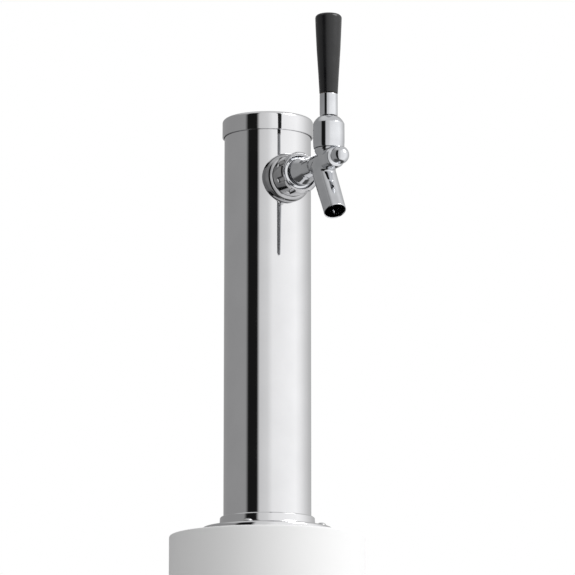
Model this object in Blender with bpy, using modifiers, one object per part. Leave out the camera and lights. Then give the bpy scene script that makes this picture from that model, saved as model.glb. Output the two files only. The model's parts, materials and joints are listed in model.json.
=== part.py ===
"""Single-faucet beer tap tower: a polished 3 in column on a screwed base, with a rear-sealing faucet.

Frame: metres, +Z up. The column's axis is the Z axis, and z = 0 is the underside of the base gasket,
where the counter is. The faucet points along -Y. Faucet pieces are drawn along their own axis, as
(radius, reach) with reach measured forward from the column's axis.
"""

import math

import bmesh
import bpy
from mathutils import Vector

GAP = 0.0003  # between pieces that touch

# Sides of the turned pieces
WIDE_SIDES = 48  # column and base
SIDES = 28
SMALL_SIDES = 18
HOLE_SIDES = 12

# Column, base and cap
COLUMN_RADIUS = 0.0381
COLUMN_WALL = 0.0015
COLUMN_TOP = 0.3660
COLUMN_BORE = COLUMN_RADIUS - COLUMN_WALL
FLANGE_RADIUS = 0.05715
FLANGE_TOP = 0.0068
GASKET_THICKNESS = 0.0020
LINE_HOLE_RADIUS = 0.0320
LEDGE_Z = 0.0054
SCREW_CIRCLE_RADIUS = 0.0495
SCREW_HOLE_RADIUS = 0.0027
SCREW_COUNT = 4
SCREW_LENGTH = 0.0200  # below the gasket, into the counter
SLEEVE_BORE = 0.0215
SLEEVE_TOP = 0.2620
CAP_RADIUS = 0.0399
CAP_TOP = 0.3686
CAP_BOTTOM = 0.3525

# Faucet
FAUCET_Z = 0.3090  # height of the faucet's axis
SHANK_RADIUS = 0.0111
SHANK_BORE = 0.0032
NUT_REAR = 0.0470
NUT_FRONT = 0.0660
NUT_RADIUS = 0.0183
BODY_REAR = 0.0570
BODY_THREAD_RADIUS = 0.0143
BARREL_RADIUS = 0.0087
HUB_RADIUS = 0.0093
MAIN_BORE = 0.0056
NOSE_REACH = 0.1418
NOSE_RADIUS = 0.0078
SEAT_REACH = 0.0720
SPOUT_REACH = 0.1061  # where the spout's axis meets the faucet's axis
SPOUT_TILT = math.radians(29.2)  # from straight down, forward
SPOUT_LENGTH = 0.0538
SPOUT_SHOULDER_RADIUS = 0.0101  # just below the barrel, from where it tapers to its rim
SPOUT_RADIUS = 0.0096
SPOUT_BORE = 0.0087
VENT_RADIUS = 0.0014
VENT_TURN = math.radians(-9.5)  # about the vertical, from straight ahead
VENT_DOWN = 0.0288  # along the spout's axis, where the vent is drilled from

# Lever, bonnet and handle
LEVER_REACH = 0.1205
PIVOT_Z = 0.3345
BALL_RADIUS = 0.0080
BALL_SOCKET = BALL_RADIUS + GAP
TIP_Z = 0.3125
TIP_RADIUS = 0.0027
BOSS_RADIUS = 0.0109
BOSS_TOP = 0.3310
BONNET_RADIUS = 0.0135
BONNET_BOTTOM = 0.3186
DOME_RADIUS = 0.0146  # sphere about the pivot, so the tilting collar clears it
LEVER_STEM_RADIUS = 0.0036
COLLAR_RADIUS = 0.0077
COLLAR_TOP = 0.3664
HANDLE_BOTTOM = 0.3670
HANDLE_TOP = 0.4372
HANDLE_TOP_RADIUS = 0.0114

for old in list(bpy.data.objects):
    bpy.data.objects.remove(old, do_unlink=True)

tower = bpy.data.collections.new("beer_tap_tower")
helpers = bpy.data.collections.new("cutters")
bpy.context.scene.collection.children.link(tower)
bpy.context.scene.collection.children.link(helpers)


# Shape helpers


def arc(centre_r, centre_h, radius, start_deg, end_deg, steps):
    """Points of an arc in the (radius, height) plane; 0 degrees points outwards, 90 up."""
    turn = (end_deg - start_deg) / steps
    angles = [math.radians(start_deg + turn * i) for i in range(steps + 1)]
    return [(centre_r + radius * math.cos(a), centre_h + radius * math.sin(a)) for a in angles]


def sphere_angle(radius_there, sphere_radius):
    """Elevation, in degrees, at which a sphere has the given radius about the vertical."""
    return math.degrees(math.acos(radius_there / sphere_radius))


def turned(name, profile, steps, group=tower, closed=True):
    """A solid turned about local Z. The profile runs down its outer side and, if closed, up its bore."""
    mesh = bpy.data.meshes.new(name)
    count = len(profile)
    edges = [(i, i + 1) for i in range(count - 1)]
    if closed:
        edges.append((count - 1, 0))
    mesh.from_pydata([(r, 0.0, h) for r, h in profile], edges, [])
    obj = bpy.data.objects.new(name, mesh)
    group.objects.link(obj)
    screw = obj.modifiers.new("turn", "SCREW")
    screw.steps = steps
    screw.render_steps = steps
    screw.use_merge_vertices = True
    screw.merge_threshold = 0.00001
    return obj


def solid_of_revolution(name, profile, steps, group=tower):
    """A turned solid with no bore: its profile starts and ends on the axis."""
    return turned(name, profile, steps, group, closed=False)


def rod(name, radius, low, high, steps=SIDES, group=helpers):
    return solid_of_revolution(name, [(0, high), (radius, high), (radius, low), (0, low)], steps, group)


def box(name, low, high):
    """A box between two corners, in its own axes."""
    mesh = bpy.data.meshes.new(name)
    block = bmesh.new()
    bmesh.ops.create_cube(block, size=1.0)
    for vert in block.verts:
        vert.co = Vector(low[i] + (vert.co[i] + 0.5) * (high[i] - low[i]) for i in range(3))
    block.to_mesh(mesh)
    block.free()
    obj = bpy.data.objects.new(name, mesh)
    helpers.objects.link(obj)
    return obj


def as_mesh(curve, group):
    """The curve's surface as a closed mesh in a new object, with the curve removed."""
    bpy.context.view_layer.update()
    graph = bpy.context.evaluated_depsgraph_get()
    mesh = bpy.data.meshes.new_from_object(curve.evaluated_get(graph))
    welded = bmesh.new()
    welded.from_mesh(mesh)
    bmesh.ops.remove_doubles(welded, verts=welded.verts, dist=0.00001)
    bmesh.ops.recalc_face_normals(welded, faces=welded.faces)
    welded.to_mesh(mesh)
    welded.free()
    obj = bpy.data.objects.new(curve.name + "_mesh", mesh)
    obj.matrix_world = curve.matrix_world
    group.objects.link(obj)
    bpy.data.objects.remove(curve, do_unlink=True)
    return obj


def pipe(name, points, radius):
    """A round bar along the points, as a helper mesh."""
    data = bpy.data.curves.new(name, "CURVE")
    data.dimensions = "3D"
    data.bevel_depth = radius
    data.bevel_resolution = 4
    data.use_fill_caps = True
    line = data.splines.new("POLY")
    line.points.add(len(points) - 1)
    for knot, point in zip(line.points, points):
        knot.co = (*point, 1.0)
    curve = bpy.data.objects.new(name, data)
    helpers.objects.link(curve)
    return as_mesh(curve, helpers)


def plate(name, outline, half_width):
    """A flat outline, in reach and height, extruded both ways across the tower."""
    data = bpy.data.curves.new(name, "CURVE")
    data.dimensions = "2D"
    data.fill_mode = "BOTH"
    data.extrude = half_width
    line = data.splines.new("POLY")
    line.points.add(len(outline) - 1)
    for knot, (reach, height) in zip(line.points, outline):
        knot.co = (reach, height, 0.0, 1.0)
    line.use_cyclic_u = True
    curve = bpy.data.objects.new(name, data)
    helpers.objects.link(curve)
    curve.rotation_euler = (math.pi / 2, 0.0, -math.pi / 2)
    return as_mesh(curve, helpers)


def combine(target, operation, *others):
    """Applies the other objects to the target, one Boolean each, and leaves them as hidden helpers."""
    for other in others:
        step = target.modifiers.new(operation.lower(), "BOOLEAN")
        step.operation = operation
        step.solver = "EXACT"
        step.object = other
    return target


def cut(target, *cutters):
    return combine(target, "DIFFERENCE", *cutters)


def join(target, *others):
    return combine(target, "UNION", *others)


def forward(obj, height=FAUCET_Z):
    """Lays a turned piece along the faucet: its local +Z points along -Y at the given height."""
    obj.location = (0.0, 0.0, height)
    obj.rotation_euler = (math.pi / 2, 0.0, 0.0)
    return obj


def upright(obj, reach=LEVER_REACH):
    """Stands a turned piece on the lever's axis."""
    obj.location = (0.0, -reach, 0.0)
    return obj


def along_spout(obj):
    obj.location = (0.0, -SPOUT_REACH, FAUCET_Z)
    obj.rotation_euler = (math.pi - SPOUT_TILT, 0.0, 0.0)
    return obj


def paint(obj, color, roughness, metallic):
    """Gives the piece its own material."""
    material = bpy.data.materials.new(obj.name)
    material.use_nodes = True
    shader = material.node_tree.nodes["Principled BSDF"]
    shader.inputs["Base Color"].default_value = (*color, 1.0)
    shader.inputs["Roughness"].default_value = roughness
    shader.inputs["Metallic"].default_value = metallic
    obj.data.materials.append(material)
    return obj


def polished_steel(obj):
    return paint(obj, (0.62, 0.62, 0.63), 0.06, 1.0)


def chrome(obj):
    return paint(obj, (0.66, 0.67, 0.69), 0.05, 1.0)


def zinc_steel(obj):
    return paint(obj, (0.50, 0.50, 0.52), 0.35, 1.0)


def brass(obj):
    return paint(obj, (0.72, 0.53, 0.26), 0.30, 1.0)


def black_rubber(obj):
    return paint(obj, (0.02, 0.02, 0.02), 0.70, 0.0)


def black_plastic(obj):
    return paint(obj, (0.015, 0.015, 0.015), 0.35, 0.0)


def pale_plastic(obj):
    return paint(obj, (0.75, 0.75, 0.72), 0.45, 0.0)


def grey_foam(obj):
    return paint(obj, (0.16, 0.16, 0.17), 0.90, 0.0)


# Column, base and cap


def screw_places():
    """Centres of the base screws, between the tower's front, sides and back."""
    for number in range(SCREW_COUNT):
        angle = math.tau * (number + 0.5) / SCREW_COUNT
        yield SCREW_CIRCLE_RADIUS * math.cos(angle), SCREW_CIRCLE_RADIUS * math.sin(angle)


def screw_hole_cutters(name, radius):
    holes = []
    for number, (x, y) in enumerate(screw_places(), 1):
        hole = rod(f"{name}_{number}", radius, -0.005, 0.020, HOLE_SIDES)
        hole.location = (x, y, 0.0)
        holes.append(hole)
    return holes


def make_base():
    gasket = turned(
        "base_gasket",
        [
            (FLANGE_RADIUS - 0.0010, GASKET_THICKNESS),
            (FLANGE_RADIUS - 0.0006, 0.0),
            (LINE_HOLE_RADIUS, 0.0),
            (LINE_HOLE_RADIUS, GASKET_THICKNESS),
        ],
        WIDE_SIDES,
    )
    cut(gasket, *screw_hole_cutters("gasket_hole", SCREW_HOLE_RADIUS + GAP))
    black_rubber(gasket)

    socket = COLUMN_RADIUS + 0.0004
    bottom = GASKET_THICKNESS + GAP
    fillet = 0.0030
    edge = 0.0024
    profile = [(socket, 0.0160), (socket + 0.0018, 0.0160), (socket + 0.0026, 0.0152)]
    profile += arc(socket + 0.0029 + fillet, FLANGE_TOP + fillet, fillet, 180, 270, 3)
    profile += arc(FLANGE_RADIUS - edge, FLANGE_TOP - edge, edge, 90, 0, 3)
    profile += [(FLANGE_RADIUS, bottom), (LINE_HOLE_RADIUS, bottom)]
    profile += [(LINE_HOLE_RADIUS, LEDGE_Z), (socket, LEDGE_Z)]
    flange = turned("base_flange", profile, WIDE_SIDES)
    cut(flange, *screw_hole_cutters("flange_hole", SCREW_HOLE_RADIUS))
    polished_steel(flange)


def make_screws():
    """Pan-head wood screws through the flange into the counter, with a cross recess."""
    head_radius = 0.0040
    head_low = FLANGE_TOP + GAP
    head_top = head_low + 0.0026
    core, crest, pitch, ridges = 0.0014, 0.0021, 0.0030, 5
    for number, (x, y) in enumerate(screw_places(), 1):
        profile = [(0.0, head_top), (0.0020, head_top - 0.0002), (0.0034, head_top - 0.0010)]
        profile += [(head_radius, head_low + 0.0006), (head_radius, head_low), (0.0021, head_low)]
        for ridge in range(ridges):
            height = -0.0010 - pitch * ridge
            profile += [(core, height), (crest, height - pitch / 2)]
        profile += [(core, -SCREW_LENGTH + 0.0030), (0.0, -SCREW_LENGTH)]
        screw = solid_of_revolution(f"base_screw_{number}", profile, HOLE_SIDES)
        screw.location = (x, y, 0.0)
        recess = head_top - 0.0014
        for turn in (0.0, math.pi / 2):
            slot = box(f"screw_slot_{number}", (-0.0022, -0.0005, recess), (0.0022, 0.0005, head_top + 0.002))
            slot.location = (x, y, 0.0)
            slot.rotation_euler = (0.0, 0.0, turn + math.pi / 4)
            cut(screw, slot)
        zinc_steel(screw)


def make_column():
    low = LEDGE_Z + GAP
    column = turned(
        "column",
        [(COLUMN_RADIUS, COLUMN_TOP), (COLUMN_RADIUS, low), (COLUMN_BORE, low), (COLUMN_BORE, COLUMN_TOP)],
        WIDE_SIDES,
    )
    cut(column, forward(rod("column_hole", SHANK_RADIUS + 0.0006, 0.020, 0.050)))
    polished_steel(column)

    outside = COLUMN_BORE - 0.0004
    sleeve_low = low + GAP
    sleeve = turned(
        "insulation_sleeve",
        [(outside, SLEEVE_TOP), (outside, sleeve_low), (SLEEVE_BORE, sleeve_low), (SLEEVE_BORE, SLEEVE_TOP)],
        SIDES,
    )
    grey_foam(sleeve)


def make_cap():
    """A drawn steel cup over the column's top, on a plastic plug that an O-ring grips."""
    round_edge = 0.0030
    inside = COLUMN_RADIUS + 0.0005
    ceiling = COLUMN_TOP + 0.0012
    profile = [(0.0, CAP_TOP)]
    profile += arc(CAP_RADIUS - round_edge, CAP_TOP - round_edge, round_edge, 90, 0, 4)
    profile += [(CAP_RADIUS, CAP_BOTTOM + 0.0004), (CAP_RADIUS - 0.0004, CAP_BOTTOM)]
    profile += [(inside, CAP_BOTTOM), (inside, ceiling), (0.0, ceiling)]
    polished_steel(solid_of_revolution("column_cap", profile, WIDE_SIDES))

    outer, groove, inner = COLUMN_BORE - 0.0004, 0.0342, 0.0310
    ring_z, ring_section = 0.3550, 0.0009
    half_groove = 0.0013
    plug = turned(
        "cap_plug",
        [
            (outer, ceiling - GAP),
            (outer, ring_z + half_groove),
            (groove, ring_z + half_groove),
            (groove, ring_z - half_groove),
            (outer, ring_z - half_groove),
            (outer, 0.3480),
            (outer - 0.0012, 0.3450),
            (inner, 0.3450),
            (inner, ceiling - GAP),
        ],
        SIDES,
    )
    black_plastic(plug)
    ring_centre = groove + GAP + ring_section
    ring = turned("cap_o_ring", arc(ring_centre, ring_z, ring_section, 90, -210, 5), SIDES)
    black_rubber(ring)


# Shank through the column, and the beer line's tail


def make_shank():
    flange_front = 0.0550
    shank = turned(
        "shank",
        [
            (0.0139, flange_front),
            (0.0139, 0.0512),
            (SHANK_RADIUS, 0.0512),
            (SHANK_RADIUS, 0.0046),
            (SHANK_RADIUS - 0.0006, 0.0040),
            (SHANK_BORE, 0.0040),
            (SHANK_BORE, flange_front - 0.0015),
            (SHANK_BORE + 0.0015, flange_front),
        ],
        SIDES,
    )
    chrome(forward(shank))


def make_collar():
    """Bell collar outside the column, on a rubber saddle that follows the column's curve."""
    hole = SHANK_RADIUS + 0.0004
    saddle_inside = COLUMN_RADIUS + GAP
    saddle_outside = saddle_inside + 0.0010
    blank = [(0.0208, 0.0420), (0.0208, 0.0260), (hole, 0.0260), (hole, 0.0420)]
    saddle = forward(turned("collar_gasket", blank, SIDES))
    shell = [(saddle_outside, 0.345), (saddle_outside, 0.270), (saddle_inside, 0.270), (saddle_inside, 0.345)]
    combine(saddle, "INTERSECT", turned("saddle_shell", shell, WIDE_SIDES, helpers))
    black_rubber(saddle)

    profile = [(hole, 0.0466), (0.0160, 0.0466)]
    profile += arc(0.0161, 0.0411, 0.0055, 75, 0, 4)
    profile += [(0.0216, 0.0260), (hole, 0.0260)]
    collar = forward(turned("shank_collar", profile, SIDES))
    cut(collar, rod("collar_saddle_cut", saddle_outside + GAP, 0.270, 0.345, WIDE_SIDES))
    chrome(collar)


def hex_nut(name, corner_radius, rear, front, bore, steps=SMALL_SIDES):
    """A hexagon along the faucet's axis with a plain bore."""
    nut = forward(rod(name, corner_radius, rear, front, steps=6, group=tower))
    return cut(nut, forward(rod(name + "_bore", bore, rear - 0.002, front + 0.002, steps)))


def make_inner_clamp():
    thread_hole = SHANK_RADIUS + GAP
    ring = [(0.0165, 0.0400), (0.0165, 0.0290), (thread_hole, 0.0290), (thread_hole, 0.0400)]
    saddle = forward(turned("inner_saddle", ring, SIDES))
    combine(saddle, "INTERSECT", rod("inner_saddle_shape", COLUMN_BORE - GAP, 0.270, 0.345, WIDE_SIDES))
    zinc_steel(saddle)
    zinc_steel(hex_nut("shank_locknut", 0.0175, 0.0215, 0.0287, thread_hole))


def make_tail():
    """Washer, barbed elbow and its hexagon nut on the shank's rear end."""
    washer = [(0.0085, 0.0037), (0.0085, 0.0022), (0.0034, 0.0022), (0.0034, 0.0037)]
    black_rubber(forward(turned("tail_gasket", washer, SMALL_SIDES)))

    flange_front, lip_front, lip_rear = 0.0019, -0.0008, -0.0045
    elbow = forward(rod("tailpiece", 0.0085, lip_front + GAP, flange_front, SMALL_SIDES, tower))
    bend, drop_y, low = 0.0080, 0.0160, 0.2720
    quarter = [math.radians(90 * i / 4) for i in range(5)]
    turn = [
        (0.0, drop_y - bend + bend * math.sin(a), FAUCET_Z - bend + bend * math.cos(a)) for a in quarter
    ]
    run = [(0.0, -0.0010, FAUCET_Z), *turn, (0.0, drop_y, 0.2960)]
    bore = [(0.0, -0.0040, FAUCET_Z), *turn, (0.0, drop_y, low - 0.0020)]
    barbs = [(0.0, 0.2970), (0.0046, 0.2970)]
    for top in (0.2890, 0.2830, 0.2770):
        barbs += [(0.0046, top), (0.0054, top - 0.0004), (0.0044, top - 0.0050)]
    barbs += [(0.0042, low), (0.0, low)]
    stem = solid_of_revolution("tail_barbs", barbs, SMALL_SIDES, helpers)
    stem.location = (0.0, drop_y, 0.0)
    join(elbow, pipe("tail_run", run, 0.0046), stem)
    cut(elbow, pipe("tail_bore", bore, 0.0030))
    chrome(elbow)

    nut = hex_nut("tail_nut", 0.0155, lip_rear, 0.0105, 0.0050)
    cut(nut, forward(rod("tail_nut_thread", SHANK_RADIUS + GAP, lip_front, 0.0150, SMALL_SIDES)))
    zinc_steel(nut)


# Faucet


def make_coupling():
    """Coupling nut with a lip behind the shank's flange and wrench slots round its front."""
    thread_bore = BODY_THREAD_RADIUS + GAP
    lip_front = 0.0509
    nut = forward(
        turned(
            "coupling_nut",
            [
                (thread_bore, NUT_FRONT),
                (NUT_RADIUS - 0.0014, NUT_FRONT),
                (NUT_RADIUS, NUT_FRONT - 0.0012),
                (NUT_RADIUS, NUT_REAR + 0.0020),
                (NUT_RADIUS - 0.0014, NUT_REAR),
                (SHANK_RADIUS + 0.0005, NUT_REAR),
                (SHANK_RADIUS + 0.0005, lip_front),
                (thread_bore, lip_front),
            ],
            40,
        )
    )
    slots = 8
    for number in range(slots):
        angle = math.tau * (number + 0.5) / slots
        slot = forward(rod(f"wrench_slot_{number + 1}", 0.0032, 0.0545, 0.0700, HOLE_SIDES))
        across = 0.0201
        slot.location = (across * math.cos(angle), 0.0, FAUCET_Z + across * math.sin(angle))
        cut(nut, slot)
    chrome(nut)

    washer = [(0.0105, 0.0567), (0.0105, 0.0553), (0.0050, 0.0553), (0.0050, 0.0567)]
    black_rubber(forward(turned("faucet_gasket", washer, SMALL_SIDES)))


def make_body():
    """Casting with the threaded rear, barrel, ball nose, lever boss and spout, and its water ways."""
    neck_radius = 0.0056
    neck_angle = -sphere_angle(neck_radius, NOSE_RADIUS)
    profile = [(0.0, NOSE_REACH + NOSE_RADIUS)]
    profile += arc(0.0, NOSE_REACH, NOSE_RADIUS, 90, neck_angle, 7)[1:]
    profile += [(neck_radius, 0.1356), (0.0080, 0.1343), (HUB_RADIUS, 0.1322), (HUB_RADIUS, 0.1005)]
    profile += [(BARREL_RADIUS, 0.0955), (BARREL_RADIUS, 0.0835), (0.0094, 0.0795), (0.0108, 0.0755)]
    profile += [(0.0119, 0.0725), (0.0122, 0.0705), (0.0120, 0.0680), (0.0114, 0.0660), (0.0114, 0.0640)]
    profile += [(BODY_THREAD_RADIUS, 0.0632), (BODY_THREAD_RADIUS, BODY_REAR), (0.0, BODY_REAR)]
    body = forward(solid_of_revolution("faucet_body", profile, SIDES))

    boss_profile = [(0.0, BOSS_TOP), (BOSS_RADIUS, BOSS_TOP), (BOSS_RADIUS, BONNET_BOTTOM - GAP)]
    boss_profile += [(0.0121, BONNET_BOTTOM - GAP), (0.0121, 0.3164), (0.0085, 0.3100), (0.0, 0.3100)]
    boss = upright(solid_of_revolution("lever_boss", boss_profile, SIDES, helpers))
    spout_profile = [(0.0, SPOUT_LENGTH), (SPOUT_RADIUS - 0.0004, SPOUT_LENGTH)]
    spout_profile += [(SPOUT_RADIUS, SPOUT_LENGTH - 0.0004), (SPOUT_SHOULDER_RADIUS, 0.0120)]
    spout_profile += arc(0.0, 0.0, HUB_RADIUS - 0.0005, 0, -90, 6)  # sunk into the hub
    spout = along_spout(solid_of_revolution("spout_outside", spout_profile, SIDES, helpers))
    join(body, boss, spout)

    chamber = forward(rod("valve_chamber", 0.0070, 0.0500, SEAT_REACH, SMALL_SIDES))
    seat = forward(rod("valve_seat", 0.0039, SEAT_REACH - 0.0010, 0.0760, SMALL_SIDES))
    bore = forward(rod("main_bore", MAIN_BORE, 0.0750, 0.1292, SMALL_SIDES))
    way_out = along_spout(rod("spout_bore", SPOUT_BORE, 0.0110, SPOUT_LENGTH + 0.0100))
    throat = along_spout(rod("spout_throat", 0.0062, 0.0030, 0.0120, SMALL_SIDES))
    socket_profile = arc(0.0, PIVOT_Z, BALL_SOCKET, 90, -90, 10)
    socket = upright(solid_of_revolution("ball_socket", socket_profile, SMALL_SIDES, helpers))
    swing = [(0.1090, 0.3100), (0.1090, 0.3150), (0.1154, 0.3300), (0.1242, 0.3300), (0.1242, 0.3100)]
    vent = rod("spout_vent", VENT_RADIUS, 0.0, 0.0160, HOLE_SIDES)
    vent.rotation_euler = (math.pi / 2, 0.0, VENT_TURN)
    vent_reach = SPOUT_REACH + VENT_DOWN * math.sin(SPOUT_TILT)
    vent.location = (0.0, -vent_reach, FAUCET_Z - VENT_DOWN * math.cos(SPOUT_TILT))
    cut(body, chamber, seat, bore, way_out, throat, socket, plate("lever_slot", swing, 0.0033), vent)
    chrome(body)


def make_valve():
    """Shaft with a fork for the lever's tip, and the seat washer and nut at its rear end."""
    head_radius, stem_radius = MAIN_BORE - 0.0004, 0.0024
    profile = [(0.0, 0.1272), (head_radius, 0.1272), (head_radius, 0.1137), (stem_radius, 0.1127)]
    profile += [(stem_radius, 0.0660), (0.0, 0.0660)]
    shaft = forward(solid_of_revolution("valve_shaft", profile, SMALL_SIDES))
    half_slot = TIP_RADIUS + 0.0004
    low = (-0.0031, -LEVER_REACH - half_slot, 0.3085)
    high = (0.0031, -LEVER_REACH + half_slot, 0.3180)
    fork = box("fork_slot", low, high)
    cut(shaft, fork)
    chrome(shaft)
    hole = stem_radius + GAP
    washer = [(0.0062, SEAT_REACH - GAP), (0.0062, 0.0690), (hole, 0.0690), (hole, SEAT_REACH - GAP)]
    black_rubber(forward(turned("valve_washer", washer, SMALL_SIDES)))
    brass(hex_nut("valve_nut", 0.0048, 0.0666, 0.0687, hole, HOLE_SIDES))


def make_bonnet():
    """Ball washer and friction ring round the lever's ball, and the domed bonnet that clamps them."""
    rings = (("ball_washer", BOSS_TOP + GAP, 0.3346), ("friction_ring", 0.3349, 0.3380))
    for name, low, high in rings:
        inner = []
        for step in range(4):
            height = low + (high - low) * step / 3
            inner.append((math.sqrt(BALL_SOCKET**2 - (height - PIVOT_Z) ** 2), height))
        ring = upright(turned(name, [(BOSS_RADIUS, high), (BOSS_RADIUS, low), *inner], SMALL_SIDES))
        if name == "ball_washer":
            black_rubber(ring)
        else:
            pale_plastic(ring)

    mouth, thread_bore, ceiling = 0.0092, BOSS_RADIUS + GAP, 0.3383
    dome_start = sphere_angle(mouth, DOME_RADIUS)
    dome_end = sphere_angle(BONNET_RADIUS - 0.00005, DOME_RADIUS)
    profile = arc(0.0, PIVOT_Z, DOME_RADIUS, dome_start, dome_end, 5)
    profile += [(BONNET_RADIUS, 0.3310), (BONNET_RADIUS, 0.3250), (0.0133, 0.3205), (0.0128, BONNET_BOTTOM)]
    profile += [(thread_bore, BONNET_BOTTOM), (thread_bore, ceiling), (mouth, ceiling)]
    chrome(upright(turned("bonnet", profile, SIDES)))


# Lever and handle, on an empty at the ball's centre


def make_lever():
    pivot = bpy.data.objects.new("lever_pivot", None)
    tower.objects.link(pivot)
    pivot.location = (0.0, -LEVER_REACH, PIVOT_Z)

    def on_lever(obj):
        obj.parent = pivot
        obj.location = (0.0, 0.0, -PIVOT_Z)
        return obj

    neck, arm = LEVER_STEM_RADIUS, 0.0022
    thread = 0.0047
    profile = [(0.0, 0.3845), (thread - 0.0008, 0.3845), (thread, 0.3837), (thread, 0.3493), (neck, 0.3482)]
    ball_start, ball_end = sphere_angle(neck, BALL_RADIUS), -sphere_angle(arm, BALL_RADIUS)
    profile += arc(0.0, PIVOT_Z, BALL_RADIUS, ball_start, ball_end, 9)
    profile += arc(0.0, TIP_Z, TIP_RADIUS, sphere_angle(arm - 0.0002, TIP_RADIUS), -90, 5)
    chrome(on_lever(solid_of_revolution("lever", profile, SMALL_SIDES)))

    bore = thread + GAP
    cup = DOME_RADIUS + 0.00035
    profile = [(COLLAR_RADIUS - 0.0005, COLLAR_TOP), (COLLAR_RADIUS, COLLAR_TOP - 0.0006)]
    profile += arc(0.0, PIVOT_Z, cup, sphere_angle(COLLAR_RADIUS, cup), sphere_angle(bore, cup), 3)
    profile += [(bore, COLLAR_TOP)]
    chrome(on_lever(turned("lever_collar", profile, SIDES)))

    insert_top, insert_radius = 0.3860, 0.0063
    low = HANDLE_BOTTOM + GAP
    profile = [(insert_radius, insert_top), (insert_radius, low), (bore, low), (bore, insert_top)]
    brass(on_lever(turned("handle_insert", profile, SMALL_SIDES)))

    hole, round_top = insert_radius + GAP, 0.0032
    profile = [(0.0, HANDLE_TOP), (0.0050, HANDLE_TOP - 0.0003)]
    profile += arc(HANDLE_TOP_RADIUS - round_top, HANDLE_TOP - 0.0008 - round_top, round_top, 80, 0, 4)
    profile += [(0.0111, 0.4250), (0.0102, 0.4055), (0.0088, 0.3835), (0.0081, 0.3710)]
    profile += [(0.0079, HANDLE_BOTTOM)]
    profile += [(hole, HANDLE_BOTTOM), (hole, insert_top + GAP), (0.0, insert_top + GAP)]
    black_plastic(on_lever(solid_of_revolution("handle", profile, SIDES)))


def settle(obj):
    """Applies the modifiers and shades the round faces smooth."""
    graph = bpy.context.evaluated_depsgraph_get()
    mesh = bpy.data.meshes.new_from_object(obj.evaluated_get(graph))
    obj.modifiers.clear()
    obj.data = mesh
    mesh.name = obj.name
    mesh.shade_smooth()
    mesh.set_sharp_from_angle(angle=math.radians(35.0))


make_base()
make_screws()
make_column()
make_cap()
make_shank()
make_collar()
make_inner_clamp()
make_tail()
make_coupling()
make_body()
make_valve()
make_bonnet()
make_lever()

bpy.context.view_layer.update()
for piece in [obj for obj in tower.objects if obj.type == "MESH"]:
    settle(piece)
for helper in helpers.objects:
    helper.hide_render = True
    helper.display_type = "WIRE"
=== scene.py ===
"""Finished look of the beer tap tower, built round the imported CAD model.

Metres, +Z up. The column's axis is the Z axis and the counter is at z = 0. The faucet points along -Y,
and its turned pieces are drawn along their own axis as (radius, reach), reach measured forward from
the column's axis. Pieces on the lever's axis are drawn as (radius, z).
"""

import json
import math

import bmesh
import bpy
import numpy as np
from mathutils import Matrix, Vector

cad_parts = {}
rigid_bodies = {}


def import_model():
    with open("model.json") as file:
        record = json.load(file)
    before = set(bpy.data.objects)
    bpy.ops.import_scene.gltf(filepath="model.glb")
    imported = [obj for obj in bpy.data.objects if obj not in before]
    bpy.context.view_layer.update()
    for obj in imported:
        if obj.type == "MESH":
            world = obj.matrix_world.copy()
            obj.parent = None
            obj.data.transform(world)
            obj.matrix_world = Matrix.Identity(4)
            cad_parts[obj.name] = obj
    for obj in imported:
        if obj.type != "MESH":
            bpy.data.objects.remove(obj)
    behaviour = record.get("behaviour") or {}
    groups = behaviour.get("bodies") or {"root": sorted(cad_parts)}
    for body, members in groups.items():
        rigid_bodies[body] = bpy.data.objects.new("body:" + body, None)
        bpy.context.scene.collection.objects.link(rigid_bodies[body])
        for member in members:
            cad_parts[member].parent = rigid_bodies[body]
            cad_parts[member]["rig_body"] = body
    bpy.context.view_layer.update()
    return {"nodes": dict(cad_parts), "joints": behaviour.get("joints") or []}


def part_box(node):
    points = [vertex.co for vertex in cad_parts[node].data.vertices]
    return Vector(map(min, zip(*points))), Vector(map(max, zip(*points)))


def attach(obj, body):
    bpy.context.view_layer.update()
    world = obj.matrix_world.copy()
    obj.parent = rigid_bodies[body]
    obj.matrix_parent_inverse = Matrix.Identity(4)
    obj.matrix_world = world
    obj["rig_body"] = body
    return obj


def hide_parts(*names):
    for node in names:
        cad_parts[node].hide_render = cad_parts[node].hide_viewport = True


for old in list(bpy.data.objects):
    bpy.data.objects.remove(old, do_unlink=True)

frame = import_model()
nodes = frame["nodes"]

# Sides of the turned pieces
COLUMN_SIDES = 256
FINE_SIDES = 160
SMALL_SIDES = 96

# The CAD model's main sizes
COLUMN_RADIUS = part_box("column")[1].x
COLUMN_LOW, COLUMN_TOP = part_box("column")[0].z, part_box("column")[1].z
COLUMN_BORE = COLUMN_RADIUS - 0.0015
CAP_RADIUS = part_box("column_cap")[1].x
CAP_BOTTOM, CAP_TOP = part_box("column_cap")[0].z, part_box("column_cap")[1].z
FLANGE_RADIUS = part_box("base_flange")[1].x
FLANGE_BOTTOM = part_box("base_flange")[0].z
COLLAR_RING_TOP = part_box("base_flange")[1].z
SHANK_FRONT, SHANK_REAR = -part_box("shank")[0].y, -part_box("shank")[1].y
NUT_FRONT, NUT_REAR = -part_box("coupling_nut")[0].y, -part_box("coupling_nut")[1].y
NUT_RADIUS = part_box("coupling_nut")[1].x
FAUCET_Z = (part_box("coupling_nut")[0].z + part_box("coupling_nut")[1].z) / 2
BODY_REAR = -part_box("faucet_body")[1].y
PIVOT = Vector(next(joint["pos_m"] for joint in frame["joints"] if joint["name"] == "lever_tilt"))
BONNET_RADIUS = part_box("bonnet")[1].x
BONNET_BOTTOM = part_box("bonnet")[0].z
HANDLE_BOTTOM, HANDLE_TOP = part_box("handle")[0].z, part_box("handle")[1].z
HANDLE_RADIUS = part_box("handle")[1].x
SCREW_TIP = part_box("base_screw_1")[0].z
SCREW_HEAD_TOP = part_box("base_screw_1")[1].z

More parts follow.
